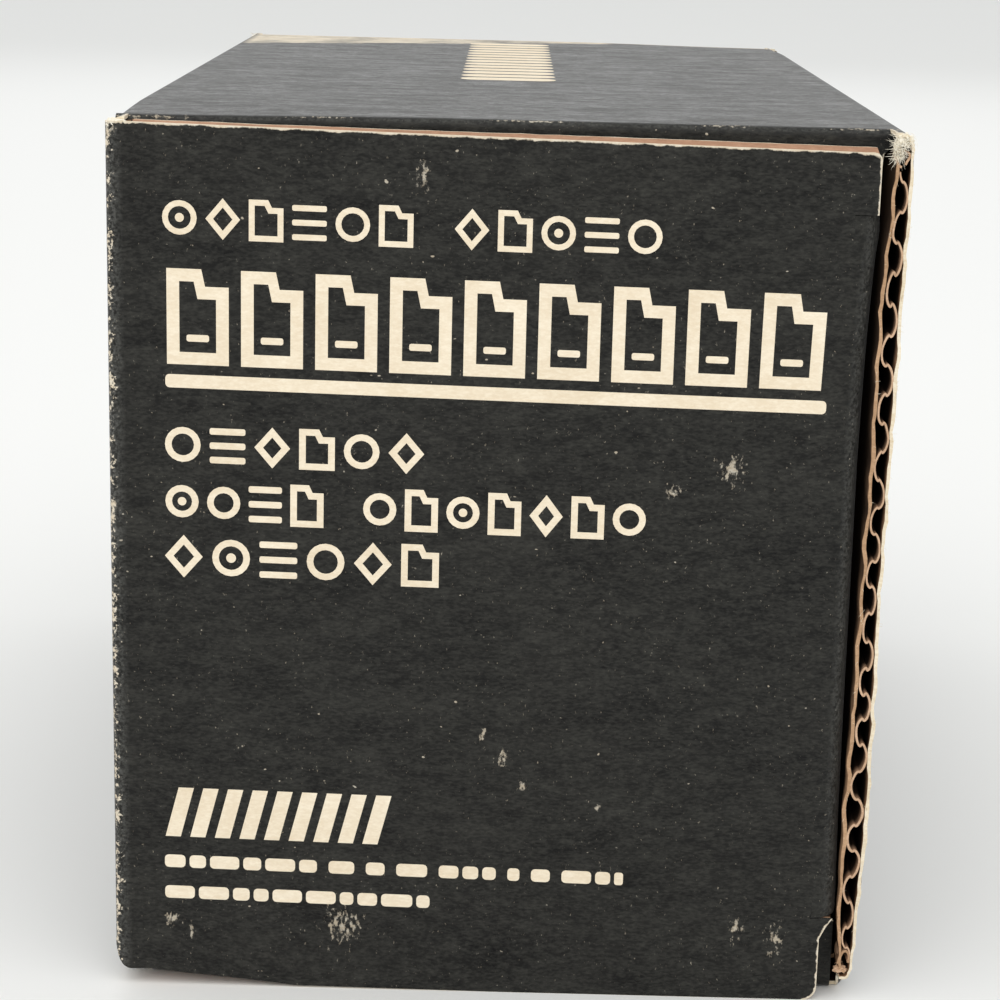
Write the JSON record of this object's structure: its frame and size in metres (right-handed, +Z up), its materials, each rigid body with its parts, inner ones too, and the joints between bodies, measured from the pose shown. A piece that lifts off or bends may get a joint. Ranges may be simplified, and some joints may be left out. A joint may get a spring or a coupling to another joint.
{
  "type": "tuck end carton",
  "caption": "Closed rectangular carton of black-printed fluted board with a hinged tuck-in closure and folding dust flaps at each end.",
  "frame": {"origin": "centre of the closed carton's footprint, on the surface it stands on", "axes": "-Y out of the printed front closure, +X to the right of that closure as it is seen, +Z up"},
  "size_m": [0.085, 0.146, 0.098],
  "materials": {
    "printed_liner": "matt black print on pale paper, worn at the folds",
    "kraft_liner": "plain brown kraft paper",
    "fluted_medium": "plain pinkish brown fluted paper",
    "glue": "dried carton glue"
  },
  "bodies": {
    "tube": {"front_bottom_dust_crease": "printed_liner", "front_closure_crease": "printed_liner", "front_top_dust_crease": "printed_liner", "glue_flap_flutes": "fluted_medium", "rear_bottom_dust_crease": "printed_liner", "rear_closure_crease": "printed_liner", "rear_top_dust_crease": "printed_liner", "seam_adhesive": "glue", "tube_bottom_flutes": "fluted_medium", "tube_inner_liner": "kraft_liner", "tube_left_flutes": "fluted_medium", "tube_outer_liner": "printed_liner", "tube_right_flutes": "fluted_medium", "tube_top_flutes": "fluted_medium"},
    "front_closure": {"front_closure_outer_liner": "printed_liner", "front_closure_flutes": "fluted_medium", "front_closure_inner_liner": "kraft_liner", "front_tuck_crease": "printed_liner"},
    "front_tuck_flap": {"front_tuck_flap_outer_liner": "printed_liner", "front_tuck_flap_flutes": "fluted_medium", "front_tuck_flap_inner_liner": "kraft_liner"},
    "front_top_dust_flap": {"front_top_dust_flap_outer_liner": "printed_liner", "front_top_dust_flap_flutes": "fluted_medium", "front_top_dust_flap_inner_liner": "kraft_liner"},
    "front_bottom_dust_flap": {"front_bottom_dust_flap_outer_liner": "printed_liner", "front_bottom_dust_flap_flutes": "fluted_medium", "front_bottom_dust_flap_inner_liner": "kraft_liner"},
    "rear_closure": {"rear_closure_outer_liner": "printed_liner", "rear_closure_flutes": "fluted_medium", "rear_closure_inner_liner": "kraft_liner", "rear_tuck_crease": "printed_liner"},
    "rear_tuck_flap": {"rear_tuck_flap_outer_liner": "printed_liner", "rear_tuck_flap_flutes": "fluted_medium", "rear_tuck_flap_inner_liner": "kraft_liner"},
    "rear_top_dust_flap": {"rear_top_dust_flap_outer_liner": "printed_liner", "rear_top_dust_flap_flutes": "fluted_medium", "rear_top_dust_flap_inner_liner": "kraft_liner"},
    "rear_bottom_dust_flap": {"rear_bottom_dust_flap_outer_liner": "printed_liner", "rear_bottom_dust_flap_flutes": "fluted_medium", "rear_bottom_dust_flap_inner_liner": "kraft_liner"}
  },
  "joints": [
    {"name": "front_closure_hinge", "type": "hinge", "parent": "tube", "child": "front_closure", "pos_m": [-0.0415, -0.072, 0.049], "axis": [0, 0, -1], "range_deg": [0, 180]},
    {"name": "front_tuck_fold", "type": "hinge", "parent": "front_closure", "child": "front_tuck_flap", "pos_m": [0.0356, -0.07005, 0.049], "axis": [0, 0, 1], "range_deg": [0, 90]},
    {"name": "front_top_dust_hinge", "type": "hinge", "parent": "tube", "child": "front_top_dust_flap", "pos_m": [0, -0.0688, 0.097], "axis": [-1, 0, 0], "range_deg": [0, 90]},
    {"name": "front_bottom_dust_hinge", "type": "hinge", "parent": "tube", "child": "front_bottom_dust_flap", "pos_m": [0, -0.0688, 0.001], "axis": [1, 0, 0], "range_deg": [0, 90]},
    {"name": "rear_closure_hinge", "type": "hinge", "parent": "tube", "child": "rear_closure", "pos_m": [0.0415, 0.072, 0.049], "axis": [0, 0, -1], "range_deg": [0, 180]},
    {"name": "rear_tuck_fold", "type": "hinge", "parent": "rear_closure", "child": "rear_tuck_flap", "pos_m": [-0.0356, 0.07005, 0.049], "axis": [0, 0, 1], "range_deg": [0, 90]},
    {"name": "rear_top_dust_hinge", "type": "hinge", "parent": "tube", "child": "rear_top_dust_flap", "pos_m": [0, 0.0688, 0.097], "axis": [1, 0, 0], "range_deg": [0, 90]},
    {"name": "rear_bottom_dust_hinge", "type": "hinge", "parent": "tube", "child": "rear_bottom_dust_flap", "pos_m": [0, 0.0688, 0.001], "axis": [-1, 0, 0], "range_deg": [0, 90]}
  ],
  "couplings": [
    {"joint": "front_tuck_fold", "follows": "front_closure_hinge", "ratio": 0.5},
    {"joint": "front_top_dust_hinge", "follows": "front_closure_hinge", "ratio": 0.5},
    {"joint": "front_bottom_dust_hinge", "follows": "front_closure_hinge", "ratio": 0.5},
    {"joint": "rear_tuck_fold", "follows": "rear_closure_hinge", "ratio": 0.5},
    {"joint": "rear_top_dust_hinge", "follows": "rear_closure_hinge", "ratio": 0.5},
    {"joint": "rear_bottom_dust_hinge", "follows": "rear_closure_hinge", "ratio": 0.5}
  ]
}
